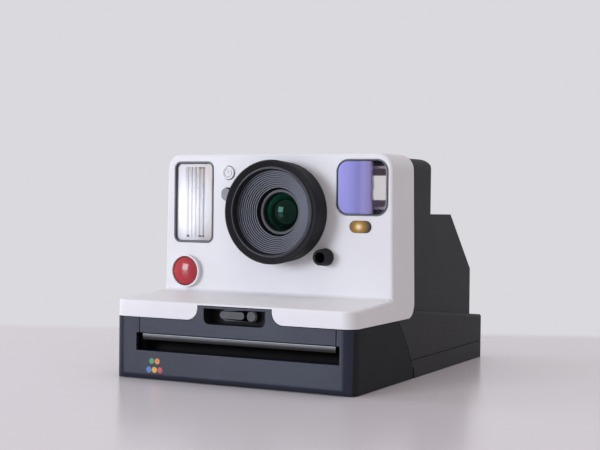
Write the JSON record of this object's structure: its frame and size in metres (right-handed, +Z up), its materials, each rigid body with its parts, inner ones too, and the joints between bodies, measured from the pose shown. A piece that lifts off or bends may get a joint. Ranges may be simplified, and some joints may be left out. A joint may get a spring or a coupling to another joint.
{
  "type": "instant film camera",
  "caption": "Box-shaped instant camera with a wide fixed lens, flash, viewfinder, red shutter button and a hinged film door with geared ejection rollers.",
  "frame": {"origin": "centre of the bounding box at the base, where the camera rests", "axes": "+X right seen from the front, +Y from the front to the rear, +Z up"},
  "size_m": [0.111, 0.15, 0.095],
  "materials": {
    "front_shell": "satin moulded white",
    "dark_shell": "fine spark-eroded texture",
    "inner_black": "matt",
    "lens_black": "fine matt",
    "lens_glass": "coated, polished",
    "trim_black": "satin",
    "clear_plastic": "moulded ribs",
    "reflector": "polished",
    "capacitor": "shrunk sleeve",
    "finder_coating": "coated, polished",
    "cell": "polished",
    "amber_lens": "frosted",
    "mirror": "front-coated glass",
    "board": "lacquered",
    "battery": "foil pouch",
    "steel": "plated",
    "shield": "glossy film",
    "motor": "plated can",
    "slider": "satin",
    "red_button": "satin",
    "grey_switch": "satin",
    "roller": "ground",
    "gear": "moulded",
    "brass": "cut"
  },
  "bodies": {
    "camera": {"front_shell": "front_shell", "rear_housing": "dark_shell", "bottom_cover": "dark_shell", "chassis": "inner_black", "lens_barrel": "lens_black", "lens_bezel": "lens_black", "lens_tube": "inner_black", "shutter_plate": "inner_black", "lens_front_glass": "lens_glass", "lens_rear_glass": "lens_glass", "flash_frame": "trim_black", "finder_frame": "trim_black", "eyepiece_frame": "trim_black", "meter_hood": "trim_black", "finder_tunnel": "inner_black", "finder_field": "inner_black", "finder_rear_lens": "clear_plastic", "flash_lens": "clear_plastic", "eyepiece_lens": "clear_plastic", "flash_reflector": "reflector", "flash_tube": "clear_plastic", "flash_capacitor": "capacitor", "finder_lens": "finder_coating", "meter_cell": "cell", "timer_light": "amber_lens", "shutter_collar": "front_shell", "mirror": "mirror", "main_board": "board", "front_board": "board", "battery": "battery", "usb_socket": "steel", "counter_lights": "amber_lens", "hinge_pins": "steel", "base_screws": "steel", "latch_keeper": "inner_black"},
    "door": {"door_shell": "dark_shell", "door_bar": "dark_shell", "film_shield": "shield", "roller_plates": "inner_black", "drive_motor": "motor"},
    "latch": {"latch_slider": "slider"},
    "shutter_key": {"shutter_button": "red_button"},
    "timer_key": {"timer_button": "front_shell"},
    "exposure": {"exposure_switch": "grey_switch"},
    "power_key": {"power_button": "slider"},
    "flash_key": {"flash_button": "slider"},
    "drive_roll": {"drive_roller": "roller"},
    "press_roll": {"pressure_roller": "roller"},
    "idler": {"idler_gear": "gear"},
    "pinion": {"motor_pinion": "brass"},
    "blade_a": {"shutter_blade_a": "inner_black"},
    "blade_b": {"shutter_blade_b": "inner_black"}
  },
  "joints": [
    {"name": "door_hinge", "type": "hinge", "parent": "camera", "child": "door", "pos_m": [0, -0.0156, 0.0024], "axis": [1, 0, 0], "range_deg": [0, 65]},
    {"name": "latch_slide", "type": "slide", "parent": "door", "child": "latch", "axis": [1, 0, 0], "range_m": [0, 0.005], "stiffness_N_per_m": 150},
    {"name": "shutter_press", "type": "slide", "parent": "camera", "child": "shutter_key", "axis": [0, 1, 0], "range_m": [0, 0.0015], "stiffness_N_per_m": 600},
    {"name": "timer_press", "type": "slide", "parent": "camera", "child": "timer_key", "axis": [0, 1, 0], "range_m": [0, 0.0008], "stiffness_N_per_m": 600},
    {"name": "exposure_slide", "type": "slide", "parent": "camera", "child": "exposure", "axis": [1, 0, 0], "range_m": [0, 0.002]},
    {"name": "power_press", "type": "slide", "parent": "camera", "child": "power_key", "axis": [0, -1, 0], "range_m": [0, 0.001], "stiffness_N_per_m": 600},
    {"name": "flash_press", "type": "slide", "parent": "camera", "child": "flash_key", "axis": [0, -1, 0], "range_m": [0, 0.001], "stiffness_N_per_m": 600},
    {"name": "drive_spin", "type": "hinge", "parent": "door", "child": "drive_roll", "pos_m": [0, -0.062, 0.01148], "axis": [1, 0, 0], "continuous": true},
    {"name": "press_spin", "type": "hinge", "parent": "door", "child": "press_roll", "pos_m": [0, -0.062, 0.01892], "axis": [1, 0, 0], "continuous": true},
    {"name": "idler_spin", "type": "hinge", "parent": "door", "child": "idler", "pos_m": [0, -0.05332, 0.01148], "axis": [1, 0, 0], "continuous": true},
    {"name": "pinion_spin", "type": "hinge", "parent": "door", "child": "pinion", "pos_m": [0, -0.04587, 0.0084], "axis": [1, 0, 0], "continuous": true},
    {"name": "blade_a_turn", "type": "hinge", "parent": "camera", "child": "blade_a", "pos_m": [-0.0076, -0.018, 0.0621], "axis": [0, -1, 0], "range_deg": [0, 48], "stiffness_Nm_per_rad": 0.02},
    {"name": "blade_b_turn", "type": "hinge", "parent": "camera", "child": "blade_b", "pos_m": [0.0144, -0.018, 0.0621], "axis": [0, 1, 0], "range_deg": [0, 48]}
  ],
  "couplings": [
    {"joint": "press_spin", "follows": "drive_spin", "ratio": -1},
    {"joint": "idler_spin", "follows": "drive_spin", "ratio": -0.75},
    {"joint": "pinion_spin", "follows": "drive_spin", "ratio": 1.2},
    {"joint": "blade_b_turn", "follows": "blade_a_turn", "ratio": 1}
  ]
}
